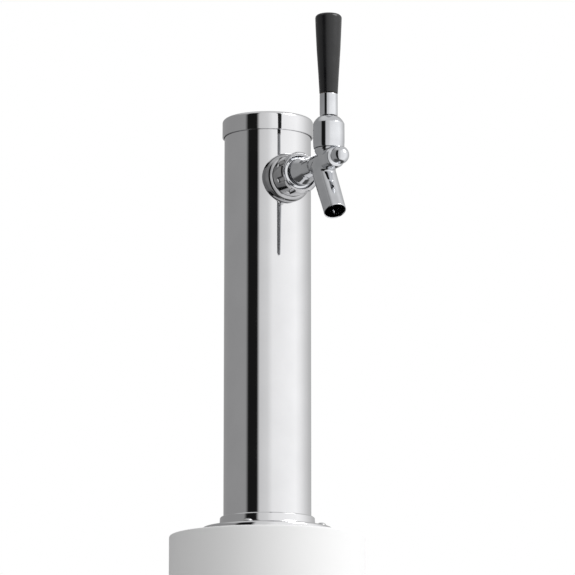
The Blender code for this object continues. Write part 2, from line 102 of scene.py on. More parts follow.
GAP = 0.0003
FLANGE_TOP = 0.0068
LINE_HOLE_RADIUS = 0.0320
SHANK_RADIUS = 0.0111
SHANK_BORE = 0.0032
BODY_THREAD_RADIUS = 0.0143
HUB_RADIUS = 0.0093
BARREL_RADIUS = 0.0087
NOSE_REACH, NOSE_RADIUS = 0.1418, 0.0078
SPOUT_REACH = 0.1061
SPOUT_TILT = math.radians(29.2)
SPOUT_LENGTH, SPOUT_RADIUS, SPOUT_BORE = 0.0538, 0.0096, 0.0087
SPOUT_SHOULDER_RADIUS = 0.0101
VENT_RADIUS, VENT_TURN, VENT_DOWN = 0.0014, math.radians(-9.5), 0.0288
BALL_RADIUS, TIP_Z, TIP_RADIUS = 0.0080, 0.3125, 0.0027
BOSS_RADIUS, BOSS_TOP = 0.0109, 0.3310
DOME_RADIUS = 0.0146
LEVER_THREAD = 0.0047
SEAT_REACH = 0.0720


# Outlines


def arc(centre_r, centre_h, radius, start_deg, end_deg, steps):
    """Points of an arc in the (radius, height) plane; 0 degrees points outwards, 90 up."""
    turn = (end_deg - start_deg) / steps
    angles = [math.radians(start_deg + turn * i) for i in range(steps + 1)]
    return [(centre_r + radius * math.cos(a), centre_h + radius * math.sin(a)) for a in angles]


def sphere_angle(radius_there, sphere_radius):
    """Elevation, in degrees, at which a sphere has the given radius about the vertical."""
    return math.degrees(math.acos(radius_there / sphere_radius))


def eased(outline, radius, steps=4, closed=True):
    """The outline with its corners rounded; points that already lie on a curve stay."""
    least_turn = math.radians(18)
    points = [Vector(point) for point in outline]
    soft = []
    for i, here in enumerate(points):
        before = points[i - 1] - here
        after = points[(i + 1) % len(points)] - here
        turn = math.pi - before.angle(after)
        if turn < least_turn or not closed and i in (0, len(points) - 1):
            soft.append(tuple(here))
            continue
        reach = min(radius * math.tan(turn / 2), 0.45 * before.length, 0.45 * after.length)
        start, end = here + before.normalized() * reach, here + after.normalized() * reach
        for step in range(steps + 1):
            t = step / steps
            soft.append(tuple(start * (1 - t) ** 2 + here * 2 * t * (1 - t) + end * t * t))
    return soft


def rows(radius, start, end, spacing):
    """Points down a straight wall, one every spacing, without the two ends."""
    count = max(2, round(abs(end - start) / spacing))
    return [(radius, start + (end - start) * i / count) for i in range(1, count)]


# Meshes


def turned(name, outline, sides=FINE_SIDES, closed=True, shape=None):
    """A surface turned about local Z. shape(radius, height, angle) may move each point of it."""
    form = bmesh.new()
    rings = []
    for r, h in outline:
        ring = []
        for side in range(sides if r > 1e-7 else 1):
            angle = math.tau * side / sides
            there_r, there_h = shape(r, h, angle) if shape else (r, h)
            ring.append(form.verts.new((there_r * math.cos(angle), there_r * math.sin(angle), there_h)))
        rings.append(ring)
    pairs = list(zip(rings, rings[1:]))
    if closed:
        pairs.append((rings[-1], rings[0]))
    for upper, lower in pairs:
        for side in range(sides):
            corners = [upper[side % len(upper)], upper[(side + 1) % sides % len(upper)]]
            corners += [lower[(side + 1) % sides % len(lower)], lower[side % len(lower)]]
            form.faces.new(dict.fromkeys(corners))
    bmesh.ops.recalc_face_normals(form, faces=form.faces)
    mesh = bpy.data.meshes.new(name)
    form.to_mesh(mesh)
    form.free()
    obj = bpy.data.objects.new(name, mesh)
    bpy.context.scene.collection.objects.link(obj)
    return obj


def knob(name, outline, sides=FINE_SIDES, shape=None):
    """A turned solid whose outline starts and ends on the axis."""
    return turned(name, outline, sides, False, shape)


def rod(name, radius, low, high, sides=SMALL_SIDES):
    return knob(name, [(0.0, high), (radius, high), (radius, low), (0.0, low)], sides)


def block(name, low, high):
    form = bmesh.new()
    bmesh.ops.create_cube(form, size=1.0)
    for vert in form.verts:
        vert.co = Vector(low[i] + (vert.co[i] + 0.5) * (high[i] - low[i]) for i in range(3))
    mesh = bpy.data.meshes.new(name)
    form.to_mesh(mesh)
    form.free()
    obj = bpy.data.objects.new(name, mesh)
    bpy.context.scene.collection.objects.link(obj)
    return obj


def plate(name, outline, half_width):
    """A flat outline, in reach and z, given a thickness across the tower."""
    form = bmesh.new()
    sides = [[form.verts.new((x, -reach, z)) for reach, z in outline] for x in (-half_width, half_width)]
    for side in sides:
        form.faces.new(side)
    for i in range(len(outline)):
        after = (i + 1) % len(outline)
        form.faces.new((sides[0][i], sides[0][after], sides[1][after], sides[1][i]))
    bmesh.ops.recalc_face_normals(form, faces=form.faces)
    mesh = bpy.data.meshes.new(name)
    form.to_mesh(mesh)
    form.free()
    obj = bpy.data.objects.new(name, mesh)
    bpy.context.scene.collection.objects.link(obj)
    return obj


def apply_modifiers(obj):
    bpy.context.view_layer.update()
    graph = bpy.context.evaluated_depsgraph_get()
    mesh = bpy.data.meshes.new_from_object(obj.evaluated_get(graph))
    obj.modifiers.clear()
    obj.data = mesh


def combine(target, operation, *others, solver="MANIFOLD"):
    """Applies the other closed meshes to the target, one Boolean each, and removes them."""
    for other in others:
        step = target.modifiers.new(operation.lower(), "BOOLEAN")
        step.operation = operation
        step.solver = solver
        step.object = other
    apply_modifiers(target)
    for other in others:
        bpy.data.objects.remove(other, do_unlink=True)
    return target


def cut(target, *cutters):
    return combine(target, "DIFFERENCE", *cutters)


def smooth(obj, sharp_deg=40.0):
    """Smooth shading whose normals follow the larger faces, so that flat walls reflect straight."""
    obj.data.shade_smooth()
    obj.data.set_sharp_from_angle(angle=math.radians(sharp_deg))
    weighted = obj.modifiers.new("weighted", "WEIGHTED_NORMAL")
    weighted.keep_sharp = True
    weighted.weight = 80
    apply_modifiers(obj)
    return obj


def forward(obj):
    """Lays a piece along the faucet: its local +Z points along -Y."""
    obj.location = (0.0, 0.0, FAUCET_Z)
    obj.rotation_euler = (math.pi / 2, 0.0, 0.0)
    return obj


def upright(obj):
    """Stands a piece on the lever's axis."""
    obj.location = (0.0, PIVOT.y, 0.0)
    return obj


def along_spout(obj):
    obj.location = (0.0, -SPOUT_REACH, FAUCET_Z)
    obj.rotation_euler = (math.pi - SPOUT_TILT, 0.0, 0.0)
    return obj


def thread(crest, depth, pitch, low, high):
    """A shape for turned(): a V thread on the wall at the crest radius between two heights."""

    def shape(r, h, angle):
        if abs(r - crest) > 1e-6 or not low < h < high:
            return r, h
        fade = min(1.0, (h - low) / pitch, (high - h) / pitch)
        phase = (h / pitch - angle / math.tau) % 1.0
        return r - depth * fade * abs(2 * phase - 1), h

    return shape


def hexagon(corner_radius, bore):
    """A shape for turned(): six flats, cut on a chamfered blank."""
    half_across = corner_radius * math.cos(math.pi / 6)

    def shape(r, h, angle):
        if r < bore + 0.0002:
            return r, h
        return min(r, half_across / math.cos(angle % (math.pi / 3) - math.pi / 6)), h

    return shape


def saddle(follow_radius):
    """A shape for turned(): heights under 5 mm count from a column-sized cylinder across the axis."""

    def shape(r, h, angle):
        if h > 0.005:
            return r, h
        return r, h + math.sqrt(follow_radius**2 - (r * math.cos(angle)) ** 2)

    return shape


# Materials


def link(material, source, output, target, socket):
    material.node_tree.links.new(source.outputs[output], target.inputs[socket])


def surface(name, color, roughness, metallic, **sockets):
    """A material with its constants on the Principled BSDF, plus object coordinates."""
    material = bpy.data.materials.new(name)
    material.use_nodes = True
    shader = material.node_tree.nodes["Principled BSDF"]
    shader.inputs["Base Color"].default_value = (*color, 1.0)
    shader.inputs["Roughness"].default_value = roughness
    shader.inputs["Metallic"].default_value = metallic
    for socket, value in sockets.items():
        shader.inputs[socket.replace("_", " ")].default_value = value
    place = material.node_tree.nodes.new("ShaderNodeTexCoord")
    return material, shader, place


def noise(material, place, scale, detail=3.0, stretch=(1.0, 1.0, 1.0)):
    """Noise in the piece's own coordinates; a stretch of 20 on an axis makes lines across it."""
    mapping = material.node_tree.nodes.new("ShaderNodeMapping")
    mapping.inputs["Scale"].default_value = stretch
    link(material, place, "Object", mapping, "Vector")
    texture = material.node_tree.nodes.new("ShaderNodeTexNoise")
    texture.inputs["Scale"].default_value = scale
    texture.inputs["Detail"].default_value = detail
    link(material, mapping, "Vector", texture, "Vector")
    return texture


def cells(material, place, scale):
    texture = material.node_tree.nodes.new("ShaderNodeTexVoronoi")
    texture.inputs["Scale"].default_value = scale
    link(material, place, "Object", texture, "Vector")
    return texture


def ramp(material, source, output, low, high, from_low=0.35, from_high=0.65):
    """Maps a texture's output to a range of values."""
    mapped = material.node_tree.nodes.new("ShaderNodeMapRange")
    mapped.inputs["From Min"].default_value = from_low
    mapped.inputs["From Max"].default_value = from_high
    mapped.inputs["To Min"].default_value = low
    mapped.inputs["To Max"].default_value = high
    link(material, source, output, mapped, "Value")
    return mapped


def tint(material, shader, source, output, first, second, from_low=0.35, from_high=0.65):
    """Varies the base colour between two colours with a texture."""
    colors = material.node_tree.nodes.new("ShaderNodeValToRGB")
    colors.color_ramp.elements[0].position = from_low
    colors.color_ramp.elements[0].color = (*first, 1.0)
    colors.color_ramp.elements[1].position = from_high
    colors.color_ramp.elements[1].color = (*second, 1.0)
    link(material, source, output, colors, "Fac")
    link(material, colors, "Color", shader, "Base Color")


def bumps(material, shader, *layers):
    """Stacks bump layers, each (texture, output, depth in metres)."""
    last = None
    for source, output, depth in layers:
        bump = material.node_tree.nodes.new("ShaderNodeBump")
        bump.inputs["Distance"].default_value = depth
        link(material, source, output, bump, "Height")
        if last:
            link(material, last, "Normal", bump, "Normal")
        last = bump
    link(material, last, "Normal", shader, "Normal")


def mirror_steel():
    """Polished stainless: faint smears, circumferential polishing lines and a slightly wavy wall."""
    made, shader, place = surface("mirror_steel", (0.66, 0.66, 0.67), 0.05, 1.0)
    smears = noise(made, place, 28.0, 4.0)
    lines = noise(made, place, 40.0, 4.0, (1.0, 1.0, 60.0))
    waves = noise(made, place, 9.0, 1.0)
    tint(made, shader, smears, "Fac", (0.65, 0.65, 0.66), (0.68, 0.68, 0.69))
    link(made, ramp(made, smears, "Fac", 0.03, 0.07), "Result", shader, "Roughness")
    bumps(made, shader, (waves, "Fac", 0.00003), (lines, "Fac", 0.0000012))
    return made


def chrome():
    """Plated brass: bright and a little blue, with fine buffing marks and dried water film."""
    made, shader, place = surface("chrome", (0.61, 0.62, 0.64), 0.04, 1.0)
    film = noise(made, place, 90.0, 5.0)
    buffing = noise(made, place, 700.0, 3.0, (1.0, 1.0, 6.0))
    tint(made, shader, film, "Fac", (0.58, 0.59, 0.61), (0.65, 0.66, 0.68))
    link(made, ramp(made, film, "Fac", 0.025, 0.09), "Result", shader, "Roughness")
    bumps(made, shader, (film, "Fac", 0.00001), (buffing, "Fac", 0.0000015))
    return made


def shaded_worn_chrome():
    """The casting's chrome with its colour painted a shade greyer, as painted shade on the nut and collar,
    plus fine wrench scuffs and polished patches.
    """
    made, shader, place = surface("shaded_worn_chrome", (0.40, 0.40, 0.41), 0.06, 1.0)
    wear = noise(made, place, 110.0, 5.0)
    scuffs = noise(made, place, 500.0, 3.0, (1.0, 1.0, 8.0))
    # Both colours are painted shade, set below the casting's chrome; the wear noise varies them at random
    tint(made, shader, wear, "Fac", (0.35, 0.35, 0.36), (0.46, 0.46, 0.47))
    link(made, ramp(made, wear, "Fac", 0.09, 0.03), "Result", shader, "Roughness")
    bumps(made, shader, (wear, "Fac", 0.00001), (scuffs, "Fac", 0.000003))
    return made


def zinc():
    """Zinc plate with faint spangles and cloudy patches of duller finish."""
    made, shader, place = surface("zinc_plate", (0.56, 0.56, 0.57), 0.35, 1.0)
    spangle = cells(made, place, 900.0)
    cloud = noise(made, place, 220.0)
    tint(made, shader, spangle, "Color", (0.46, 0.47, 0.50), (0.64, 0.63, 0.60), 0.2, 0.8)
    link(made, ramp(made, cloud, "Fac", 0.24, 0.46), "Result", shader, "Roughness")
    bumps(made, shader, (spangle, "Distance", 0.000004), (cloud, "Fac", 0.00001))
    return made


def brass():
    """Turned brass with tool lines and brown tarnish."""
    made, shader, place = surface("turned_brass", (0.78, 0.57, 0.27), 0.25, 1.0)
    tarnish = noise(made, place, 160.0, 5.0)
    tool_lines = noise(made, place, 120.0, 2.0, (1.0, 1.0, 50.0))
    tint(made, shader, tarnish, "Fac", (0.46, 0.30, 0.14), (0.82, 0.61, 0.30), 0.3, 0.6)
    link(made, ramp(made, tarnish, "Fac", 0.42, 0.18), "Result", shader, "Roughness")
    bumps(made, shader, (tool_lines, "Fac", 0.000006))
    return made


def rubber():
    """Black rubber with a grey bloom and a moulded grain."""
    made, shader, place = surface("black_rubber", (0.02, 0.02, 0.02), 0.7, 0.0, Specular_IOR_Level=0.35)
    bloom = noise(made, place, 130.0, 5.0)
    grain = noise(made, place, 2400.0, 2.0)
    tint(made, shader, bloom, "Fac", (0.014, 0.014, 0.015), (0.045, 0.045, 0.047))
    link(made, ramp(made, bloom, "Fac", 0.62, 0.88), "Result", shader, "Roughness")
    bumps(made, shader, (grain, "Fac", 0.00003))
    return made


def handle_plastic():
    """Satin black phenolic: fine moulded grain, and paler rubbed patches scattered by a noise."""
    made, shader, place = surface("handle_plastic", (0.005, 0.005, 0.006), 0.26, 0.0)
    rubbed = noise(made, place, 55.0, 4.0)
    grain = noise(made, place, 3200.0, 2.0)
    tint(made, shader, rubbed, "Fac", (0.003, 0.003, 0.004), (0.008, 0.008, 0.009))
    link(made, ramp(made, rubbed, "Fac", 0.22, 0.34), "Result", shader, "Roughness")
    bumps(made, shader, (rubbed, "Fac", 0.00004), (grain, "Fac", 0.000012))
    return made


def cap_plastic():
    """Matt black polypropylene with a coarse eroded texture."""
    made, shader, place = surface("cap_plastic", (0.02, 0.02, 0.021), 0.55, 0.0)
    cloud = noise(made, place, 90.0, 4.0)
    pits = cells(made, place, 1500.0)
    tint(made, shader, cloud, "Fac", (0.016, 0.016, 0.017), (0.030, 0.030, 0.031))
    link(made, ramp(made, cloud, "Fac", 0.48, 0.66), "Result", shader, "Roughness")
    bumps(made, shader, (pits, "Distance", 0.00004))
    return made


def acetal():
    """Off-white acetal with turning lines and slight yellowing."""
    made, shader, place = surface("acetal", (0.80, 0.79, 0.74), 0.4, 0.0, Subsurface_Weight=0.08)
    shader.inputs["Subsurface Scale"].default_value = 0.001
    age = noise(made, place, 140.0, 4.0)
    lines = noise(made, place, 100.0, 2.0, (1.0, 1.0, 60.0))
    tint(made, shader, age, "Fac", (0.74, 0.71, 0.62), (0.83, 0.82, 0.78))
    link(made, ramp(made, age, "Fac", 0.34, 0.52), "Result", shader, "Roughness")
    bumps(made, shader, (lines, "Fac", 0.00001))
    return made


def foam():
    """Charcoal closed-cell foam: small open pores over soft lumps."""
    made, shader, place = surface("grey_foam", (0.16, 0.16, 0.17), 0.92, 0.0, Specular_IOR_Level=0.2)
    pores = cells(made, place, 850.0)
    lumps = noise(made, place, 180.0, 4.0)
    tint(made, shader, pores, "Distance", (0.05, 0.05, 0.055), (0.20, 0.20, 0.21), 0.05, 0.5)
    link(made, ramp(made, lumps, "Fac", 0.85, 0.98), "Result", shader, "Roughness")
    bumps(made, shader, (pores, "Distance", 0.0005), (lumps, "Fac", 0.0004))
    return made


# Each finish is a material and the record's slot that it fills
MIRROR = mirror_steel(), "polished_steel"
CHROME = chrome(), "chrome"
# The greyer chrome is painted shade for the coupling nut and the shank collar
SHADED_WORN_CHROME = shaded_worn_chrome(), "chrome"
ZINC = zinc(), "zinc_steel"
BRASS = brass(), "brass"
RUBBER = rubber(), "black_rubber"
HANDLE_BLACK = handle_plastic(), "handle_plastic"
CAP_BLACK = cap_plastic(), "cap_plastic"
ACETAL = acetal(), "pale_plastic"
FOAM = foam(), "grey_foam"


def paint(obj, finish):
    material, slot = finish
    obj.data.materials.clear()
    obj.data.materials.append(material)


def fit(obj, finish, *replaced):
    """Paints a piece, lets it ride with the CAD nodes it stands for, and hides those."""
    paint(obj, finish)
    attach(obj, nodes[replaced[0]]["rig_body"])
    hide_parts(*replaced)


# Base and column


def screw_places():
    circle, count = 0.0495, 4
    for number in range(count):
        angle = math.tau * (number + 0.5) / count
        yield number + 1, circle * math.cos(angle), circle * math.sin(angle)


def screw_holes(radius):
    holes = []
    for number, x, y in screw_places():
        hole = rod(f"screw_hole_{number}", radius, -0.005, 0.012, 48)
        hole.location = (x, y, 0.0)
        holes.append(hole)
    return holes


def make_base():
    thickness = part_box("base_gasket")[1].z
    outline = [
        (FLANGE_RADIUS - 0.0010, thickness),
        (FLANGE_RADIUS - 0.0006, 0.0),
        (LINE_HOLE_RADIUS, 0.0),
        (LINE_HOLE_RADIUS, thickness),
    ]
    gasket = turned("counter_gasket", eased(outline, 0.0003, 3), COLUMN_SIDES)
    fit(smooth(cut(gasket, *screw_holes(0.0030))), RUBBER, "base_gasket")

    socket, ledge = COLUMN_RADIUS + 0.0004, COLUMN_LOW - GAP
    fillet, edge = 0.0030, 0.0024
    outline = [(socket, COLLAR_RING_TOP), (socket + 0.0018, COLLAR_RING_TOP)]
    outline += [(socket + 0.0026, COLLAR_RING_TOP - 0.0008)]
    outline += arc(socket + 0.0029 + fillet, FLANGE_TOP + fillet, fillet, 180, 270, 10)
    outline += [(0.0460, FLANGE_TOP), (0.0530, FLANGE_TOP)]
    outline += arc(FLANGE_RADIUS - edge, FLANGE_TOP - edge, edge, 90, 0, 10)
    outline += [(FLANGE_RADIUS, FLANGE_BOTTOM), (LINE_HOLE_RADIUS, FLANGE_BOTTOM)]
    outline += [(LINE_HOLE_RADIUS, ledge), (socket, ledge)]
    flange = turned("flange_plate", eased(outline, 0.0004, 3), COLUMN_SIDES)
    fit(smooth(cut(flange, *screw_holes(0.0027))), MIRROR, "base_flange")


def make_screws():
    """Pan-head wood screws with a cross recess and a helical thread."""
    crest, root, pitch = 0.0021, 0.0014, 0.0015
    head_low = FLANGE_TOP + GAP
    thread_top, thread_low = -0.0010, SCREW_TIP + 0.0030
    outline = [(0.0, SCREW_HEAD_TOP), (0.0020, SCREW_HEAD_TOP - 0.0002), (0.0034, SCREW_HEAD_TOP - 0.0010)]
    outline += [(0.0040, head_low + 0.0006), (0.0040, head_low), (crest, head_low), (crest, thread_top)]
    outline = eased(outline, 0.0005, 4, closed=False)
    outline += rows(crest, thread_top, thread_low, pitch / 8)
    outline += [(root, thread_low), (0.0, SCREW_TIP)]
    shape = thread(crest, crest - root, pitch, thread_low - pitch, thread_top + pitch / 2)
    for number, x, y in screw_places():
        screw = knob(f"wood_screw_{number}", outline, 48, shape)
        recess = SCREW_HEAD_TOP - 0.0014
        for turn in (0.0, math.pi / 2):
            slot = block("screw_slot", (-0.0022, -0.0005, recess), (0.0022, 0.0005, SCREW_HEAD_TOP + 0.002))
            slot.rotation_euler = (0.0, 0.0, turn + math.pi / 4)
            cut(screw, slot)
        screw.location = (x, y, 0.0)
        fit(smooth(screw), ZINC, f"base_screw_{number}")


def make_column():
    """The tube, with rings that keep the shank hole's facets under the collar."""
    outline = [(COLUMN_RADIUS, COLUMN_TOP), (COLUMN_RADIUS, 0.3250), (COLUMN_RADIUS, 0.2930)]
    outline += [(COLUMN_RADIUS, COLUMN_LOW), (COLUMN_BORE, COLUMN_LOW)]
    outline += [(COLUMN_BORE, 0.2930), (COLUMN_BORE, 0.3250), (COLUMN_BORE, COLUMN_TOP)]
    tube = turned("column_tube", eased(outline, 0.0004, 3), COLUMN_SIDES)
    cut(tube, forward(rod("shank_hole", SHANK_RADIUS + 0.0006, 0.020, 0.050)))
    fit(smooth(tube), MIRROR, "column")

    low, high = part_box("insulation_sleeve")
    outside, bore = high.x, 0.0215
    outline = rows(outside, high.z, low.z, 0.004) + [(outside, low.z), (bore, low.z)]
    outline += rows(bore, low.z, high.z, 0.004) + [(bore, high.z), (outside, high.z)]

    def lumpy(r, h, angle):
        swell = 0.00018 * (math.sin(9 * angle + 70 * h) * math.sin(230 * h) - 1)
        return r + (swell if r > bore + 0.001 else -swell), h

    sleeve = turned("foam_sleeve", eased(outline, 0.0012, 3), SMALL_SIDES, shape=lumpy)
    fit(smooth(sleeve), FOAM, "insulation_sleeve")


def make_cap():
    """A drawn cup, the plug inside it and the plug's O-ring."""
    edge = 0.0030
    inside, ceiling = COLUMN_RADIUS + 0.0005, COLUMN_TOP + 0.0012
    outline = [(0.0, CAP_TOP)]
    outline += arc(CAP_RADIUS - edge, CAP_TOP - edge, edge, 90, 0, 14)
    outline += [(CAP_RADIUS, CAP_BOTTOM), (inside, CAP_BOTTOM), (inside, ceiling), (0.0, ceiling)]
    cup = knob("cap_cup", eased(outline, 0.0004, 4, closed=False), COLUMN_SIDES)
    fit(smooth(cup), MIRROR, "column_cap")

    outer, groove, inner = COLUMN_BORE - 0.0004, 0.0342, 0.0310
    ring_z, ring_section, half_groove = 0.3550, 0.0009, 0.0013
    top, bottom = ceiling - GAP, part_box("cap_plug")[0].z
    outline = [(outer, top), (outer, ring_z + half_groove), (groove, ring_z + half_groove)]
    outline += [(groove, ring_z - half_groove), (outer, ring_z - half_groove), (outer, bottom + 0.0030)]
    outline += [(outer - 0.0012, bottom), (inner, bottom), (inner, top)]
    plug = turned("cap_plug_ring", eased(outline, 0.0003, 3))
    fit(smooth(plug), CAP_BLACK, "cap_plug")

    centre = groove + GAP + ring_section
    ring = turned("cap_seal_ring", arc(centre, ring_z, ring_section, 90, -250, 17))
    fit(smooth(ring), RUBBER, "cap_o_ring")


# Shank, collar and tail


def make_shank():
    pitch, depth = 0.00141, 0.0008
    front_flange = 0.0512
    outline = [(0.0139, SHANK_FRONT), (0.0139, front_flange), (SHANK_RADIUS, front_flange)]
    outline += rows(SHANK_RADIUS, front_flange, SHANK_REAR + 0.0006, pitch / 8)
    outline += [(SHANK_RADIUS, SHANK_REAR + 0.0006), (SHANK_RADIUS - 0.0006, SHANK_REAR)]
    outline += [(SHANK_BORE, SHANK_REAR), (SHANK_BORE, SHANK_FRONT - 0.0015)]
    outline += [(SHANK_BORE + 0.0015, SHANK_FRONT)]
    shape = thread(SHANK_RADIUS, depth, pitch, SHANK_REAR, 0.0470)
    shank = forward(turned("threaded_shank", outline, SMALL_SIDES, shape=shape))
    fit(smooth(shank, 50.0), CHROME, "shank")


def make_collar():
    """Bell collar on a rubber saddle, both following the column's curve."""
    hole, rim = SHANK_RADIUS + 0.0004, 0.0208
    rubber_inside = COLUMN_RADIUS + GAP
    rubber_outside = rubber_inside + 0.0010
    front = -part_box("shank_collar")[0].y
    inside, outside = saddle(rubber_inside), saddle(rubber_outside)

    def between(r, h, angle):
        return inside(r, 0.0, angle) if h < 0.5 else outside(r, 0.0, angle)

    gasket = turned("saddle_rubber", [(rim, 1.0), (rim, 0.0), (hole, 0.0), (hole, 1.0)], shape=between)
    fit(smooth(forward(gasket)), RUBBER, "collar_gasket")

    outline = [(hole, front), (0.0160, front)]
    outline += arc(0.0161, 0.0411, 0.0055, 80, 0, 16)
    outline += [(0.0216, 0.0004), (0.0212, 0.0), (hole, 0.0)]
    collar = turned("bell_collar", eased(outline, 0.0004, 4), shape=saddle(rubber_outside + GAP))
    # Painted shade: the collar takes the darker chrome
    fit(smooth(forward(collar)), SHADED_WORN_CHROME, "shank_collar")


def hex_nut(name, corner_radius, rear, front, bore):
    """A chamfered hexagon nut along the faucet, with chamfered thread mouths."""
    bevel = corner_radius * 0.09
    outline = [(bore, front - 0.0005), (bore + 0.0005, front), (corner_radius - 2 * bevel, front)]
    outline += [(corner_radius, front - bevel), (corner_radius, rear + bevel)]
    outline += [(corner_radius - 2 * bevel, rear), (bore + 0.0005, rear), (bore, rear + 0.0005)]
    return forward(turned(name, outline, SMALL_SIDES, shape=hexagon(corner_radius, bore)))


def make_nuts():
    low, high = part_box("shank_locknut")
    nut = hex_nut("hex_locknut", high.x, -high.y, -low.y, SHANK_RADIUS + GAP)
    fit(smooth(nut, 25.0), ZINC, "shank_locknut")
    low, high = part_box("tail_nut")
    nut = hex_nut("hex_tail_nut", high.x, -high.y, -low.y, 0.0050)
    cut(nut, forward(rod("tail_thread", SHANK_RADIUS + GAP, -0.0008, 0.0150)))
    fit(smooth(nut, 25.0), ZINC, "tail_nut")
    low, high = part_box("valve_nut")
    nut = hex_nut("hex_valve_nut", high.x, -high.y, -low.y, 0.0027)
    fit(smooth(nut, 25.0), BRASS, "valve_nut")


def make_coupling():
    """Coupling nut with wrench slots round its front, as lugs between scallops."""
    bore, lip_front, lip_bore = BODY_THREAD_RADIUS + GAP, 0.0509, SHANK_RADIUS + 0.0005
    slots, slot_radius, slot_across, slot_rear = 8, 0.0032, 0.0201, 0.0545
    run_out, softness = 0.0007, 0.0005
    outline = [(bore + 0.0004, NUT_FRONT), (NUT_RADIUS - 0.0014, NUT_FRONT)]
    outline += [(NUT_RADIUS, NUT_FRONT - 0.0012)]
    outline += rows(NUT_RADIUS, NUT_FRONT - 0.0012, NUT_REAR + 0.0020, 0.0002)
    outline += [(NUT_RADIUS, NUT_REAR + 0.0020), (NUT_RADIUS - 0.0014, NUT_REAR), (lip_bore, NUT_REAR)]
    outline += [(lip_bore, lip_front), (bore, lip_front), (bore, NUT_FRONT - 0.0004)]

    def scalloped(r, h, angle):
        across = (angle - math.pi / slots) % (math.tau / slots)
        across = min(across, math.tau / slots - across)
        side = slot_across * math.sin(across)
        if r < bore + 0.0010 or h < slot_rear or abs(side) >= slot_radius:
            return r, h
        floor = slot_across * math.cos(across) - math.sqrt(slot_radius**2 - side**2)
        near = max(softness - abs(r - floor), 0.0) / softness
        hollow = min(r, floor) - near * near * softness / 4
        share = min(1.0, (h - slot_rear) / run_out)
        share = share * share * (3 - 2 * share)
        return r + (hollow - r) * share, h

    nut = turned("scalloped_nut", eased(outline, 0.0005, 4), 384, shape=scalloped)
    # Painted shade: the nut takes the darker chrome
    fit(smooth(forward(nut), 55.0), SHADED_WORN_CHROME, "coupling_nut")


# Faucet casting


def body_outline():
    """Outside of the casting along the faucet, from the ball nose back to the thread."""
    neck = 0.0056
    neck_angle = -sphere_angle(neck, NOSE_RADIUS)
    outline = [(0.0, NOSE_REACH + NOSE_RADIUS)]
    outline += arc(0.0, NOSE_REACH, NOSE_RADIUS, 90, neck_angle, 40)[1:]
    outline += [(neck, 0.1356), (0.0080, 0.1343), (HUB_RADIUS, 0.1322), (HUB_RADIUS, 0.1005)]
    outline += [(BARREL_RADIUS, 0.0955), (BARREL_RADIUS, 0.0835), (0.0094, 0.0795), (0.0108, 0.0755)]
    outline += [(0.0119, 0.0725), (0.0122, 0.0705), (0.0120, 0.0680), (0.0114, 0.0660), (0.0114, 0.0640)]
    outline += [(BODY_THREAD_RADIUS, 0.0632), (BODY_THREAD_RADIUS, BODY_REAR), (0.0, BODY_REAR)]
    return eased(outline, 0.0012, 6, closed=False)


def boss_outline():
    top = BONNET_BOTTOM - GAP
    outline = [(0.0, BOSS_TOP), (BOSS_RADIUS, BOSS_TOP), (BOSS_RADIUS, top), (0.0121, top)]
    outline += [(0.0121, 0.3164), (0.0085, 0.3100), (0.0, 0.3100)]
    return eased(outline, 0.0003, 3, closed=False)


def spout_outline():
    start = 0.0030
    outline = [(0.0, SPOUT_LENGTH), (SPOUT_RADIUS, SPOUT_LENGTH), (SPOUT_SHOULDER_RADIUS, 0.0120)]
    outline += [(HUB_RADIUS - 0.0002, start), (0.0, start)]
    return eased(outline, 0.0005, 6, closed=False)


def outline_distance(radius, height, outline):
    """Signed distance to a turned outline that starts and ends on its axis, negative inside."""
    distance = np.full(radius.shape, np.inf)
    inside = np.zeros(radius.shape, bool)
    for (r0, h0), (r1, h1) in zip(outline, outline[1:]):
        dr, dh = r1 - r0, h1 - h0
        along = np.clip(((radius - r0) * dr + (height - h0) * dh) / (dr * dr + dh * dh + 1e-18), 0, 1)
        distance = np.minimum(distance, np.hypot(radius - r0 - along * dr, height - h0 - along * dh))
        if h0 != h1:
            inside ^= ((h0 > height) != (h1 > height)) & (radius < r0 + (height - h0) / dh * dr)
    return np.where(inside, -distance, distance)


def blended(first, second, width):
    """Union of two distances with a fillet of about this width."""
    near = np.maximum(width - np.abs(first - second), 0.0) / width
    return np.minimum(first, second) - near * near * width / 4


def casting_distance(points):
    x, y, z = points.T
    barrel = outline_distance(np.hypot(x, z - FAUCET_Z), -y, BODY_OUTLINE)
    boss = outline_distance(np.hypot(x, y - PIVOT.y), z, BOSS_OUTLINE)
    from_top = points - np.array((0.0, -SPOUT_REACH, FAUCET_Z))
    down = np.array((0.0, -math.sin(SPOUT_TILT), -math.cos(SPOUT_TILT)))
    along = from_top @ down
    spout = outline_distance(np.linalg.norm(from_top - along[:, None] * down, axis=1), along, SPOUT_OUTLINE)
    return blended(blended(barrel, boss, 0.0008), spout, 0.0030)


def press_onto(obj, distance, rounds=4, step=0.00003):
    """Moves each vertex along the distance's slope until it lies on the surface."""
    points = np.empty(len(obj.data.vertices) * 3, np.float32)
    obj.data.vertices.foreach_get("co", points)
    points = points.reshape(-1, 3).astype(np.float64)
    for _ in range(rounds):
        here = distance(points)
        slope = np.stack([(distance(points + side) - here) / step for side in np.eye(3) * step], axis=1)
        points -= slope * (here / np.maximum((slope**2).sum(axis=1), 0.3))[:, None]
    obj.data.vertices.foreach_set("co", points.astype(np.float32).ravel())
    obj.data.update()


BODY_OUTLINE, BOSS_OUTLINE, SPOUT_OUTLINE = body_outline(), boss_outline(), spout_outline()


def world_mesh(obj):
    """Moves the object's placing into its mesh."""
    bpy.context.view_layer.update()
    obj.data.transform(obj.matrix_world)
    obj.location = (0.0, 0.0, 0.0)
    obj.rotation_euler = (0.0, 0.0, 0.0)
    return obj


